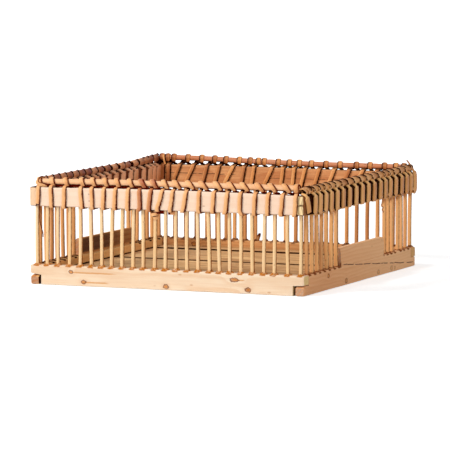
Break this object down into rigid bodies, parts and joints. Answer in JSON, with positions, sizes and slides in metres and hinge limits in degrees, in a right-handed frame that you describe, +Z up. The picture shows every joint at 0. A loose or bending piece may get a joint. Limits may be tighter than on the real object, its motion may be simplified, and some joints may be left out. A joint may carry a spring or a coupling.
{
  "type": "napkin basket",
  "caption": "Square open-top napkin basket: lapped pine frame with a plank floor, cane spindles, flat top bands and rim rods lashed on with flat cane, a hand gap in each side.",
  "frame": {"origin": "middle of the underside, on the surface that the basket stands on", "axes": "+X to the right along the front rail, +Y from the front to the back, +Z up; the hand boards are on the left and right sides"},
  "size_m": [0.2026, 0.2026, 0.0735],
  "materials": {
    "front_pine": "bare pine, knots and dark streaks",
    "side_pine": "bare aged pine",
    "floor_wood": "weathered grey-brown plank",
    "band_pine": "bare pale pine",
    "dark_band_pine": "bare aged pine",
    "spindle_cane": "round cane, satin",
    "rod_cane": "round cane, satin",
    "lace_cane": "flat peeled cane, satin"
  },
  "bodies": {
    "root": {"front_bottom_rail": "front_pine", "back_bottom_rail": "side_pine", "left_bottom_rail": "side_pine", "right_bottom_rail": "side_pine", "floor_plank_01": "floor_wood", "floor_plank_02": "floor_wood", "floor_plank_03": "floor_wood", "floor_plank_04": "floor_wood", "front_top_band": "band_pine", "right_top_band": "band_pine", "back_top_band": "dark_band_pine", "left_top_band": "dark_band_pine", "front_spindle_01": "spindle_cane", "front_spindle_02": "spindle_cane", "front_spindle_03": "spindle_cane", "front_spindle_04": "spindle_cane", "front_spindle_05": "spindle_cane", "front_spindle_06": "spindle_cane", "front_spindle_07": "spindle_cane", "front_spindle_08": "spindle_cane", "front_spindle_09": "spindle_cane", "front_spindle_10": "spindle_cane", "front_spindle_11": "spindle_cane", "front_spindle_12": "spindle_cane", "front_spindle_13": "spindle_cane", "front_spindle_14": "spindle_cane", "front_spindle_15": "spindle_cane", "front_spindle_16": "spindle_cane", "front_spindle_17": "spindle_cane", "front_spindle_18": "spindle_cane", "front_spindle_19": "spindle_cane", "front_spindle_20": "spindle_cane", "front_spindle_21": "spindle_cane", "front_spindle_22": "spindle_cane", "front_spindle_23": "spindle_cane", "front_spindle_24": "spindle_cane", "front_spindle_25": "spindle_cane", "right_spindle_01": "spindle_cane", "right_spindle_02": "spindle_cane", "right_spindle_03": "spindle_cane", "right_spindle_04": "spindle_cane", "right_spindle_05": "spindle_cane", "right_spindle_06": "spindle_cane", "right_spindle_07": "spindle_cane", "right_spindle_08": "spindle_cane", "right_spindle_09": "spindle_cane", "right_spindle_10": "spindle_cane", "right_spindle_11": "spindle_cane", "right_spindle_12": "spindle_cane", "right_spindle_13": "spindle_cane", "back_right_corner_spindle": "spindle_cane", "front_rim_rod": "rod_cane", "back_rim_rod": "rod_cane", "left_rim_rod": "rod_cane", "right_rim_rod": "rod_cane", "front_lacing": "lace_cane", "back_lacing": "lace_cane", "left_lacing": "lace_cane", "right_lacing": "lace_cane"}
  },
  "joints": []
}
